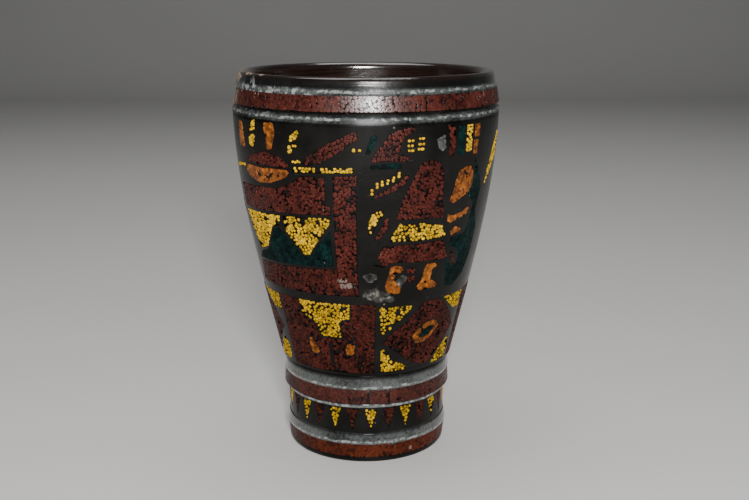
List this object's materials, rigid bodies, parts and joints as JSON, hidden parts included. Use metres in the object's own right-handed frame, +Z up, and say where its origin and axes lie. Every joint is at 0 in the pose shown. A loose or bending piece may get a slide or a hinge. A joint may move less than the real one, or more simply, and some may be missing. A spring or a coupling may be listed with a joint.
{
  "type": "wooden drinking beaker",
  "caption": "Flared wooden drinking beaker with a turned foot, ringed waist and rim, inlaid in coloured mastic with figures, stepped and diamond panels.",
  "frame": {"origin": "centre of the foot, on the surface that the beaker stands on", "axes": "+Z up along the axis of the beaker, -Y towards the front of the inlaid scene, +X to the right of it"},
  "size_m": [0.1238, 0.1238, 0.18],
  "materials": {
    "lacquered_wood": "dark hardwood under an aged glossy lacquer, worn to grey on the turned edges and to bare tan wood on part of the lip",
    "dark_brick_mastic": "pigmented plant-resin mastic, worn brownish red, crazed",
    "brick_mastic": "pigmented plant-resin mastic, warm brick red",
    "maroon_mastic": "pigmented plant-resin mastic in small pressed dabs, maroon",
    "yellow_mastic": "pigmented plant-resin mastic in small round beads, ochre yellow",
    "orange_mastic": "pigmented plant-resin mastic in small pressed dabs, orange brown",
    "teal_mastic": "pigmented plant-resin mastic in small pressed dabs, blackish teal",
    "pale_mastic": "pigmented plant-resin mastic, pale grey"
  },
  "bodies": {
    "root": {"base_band": "brick_mastic", "bird_bars": "yellow_mastic", "bird_body": "maroon_mastic", "bird_edge": "teal_mastic", "bud": "yellow_mastic", "bud_stem": "maroon_mastic", "cloak": "teal_mastic", "cloak_border": "yellow_mastic", "cloak_streak": "maroon_mastic", "collar_ground": "teal_mastic", "collar_points": "yellow_mastic", "diamond_panel_core": "teal_mastic", "diamond_panel_corners": "yellow_mastic", "diamond_panel_ground": "maroon_mastic", "diamond_panel_ring": "orange_mastic", "figure_legs": "orange_mastic", "frieze_red_triangles": "maroon_mastic", "frieze_yellow_triangles": "yellow_mastic", "ground_bits": "maroon_mastic", "headdress_orange_plumes": "orange_mastic", "headdress_red_plume": "maroon_mastic", "headdress_teal_plume": "teal_mastic", "headdress_yellow_plume": "yellow_mastic", "pale_patch": "pale_mastic", "pod": "maroon_mastic", "pod_bars": "yellow_mastic", "profile_arms": "orange_mastic", "profile_face": "orange_mastic", "rim_band": "dark_brick_mastic", "robe": "maroon_mastic", "robe_belt": "yellow_mastic", "robe_skirt": "maroon_mastic", "scene_frame": "maroon_mastic", "stepped_panel_ground": "maroon_mastic", "stepped_panel_marks": "orange_mastic", "stepped_panel_steps": "yellow_mastic", "vessel_body": "lacquered_wood", "waist_band": "dark_brick_mastic", "warrior_cap": "maroon_mastic", "warrior_face": "orange_mastic", "warrior_orange_plumes": "orange_mastic", "warrior_staffs": "yellow_mastic", "warrior_tunic": "maroon_mastic", "warrior_wing": "maroon_mastic", "warrior_wing_dots": "yellow_mastic", "warrior_yellow_plumes": "yellow_mastic"}
  },
  "joints": []
}
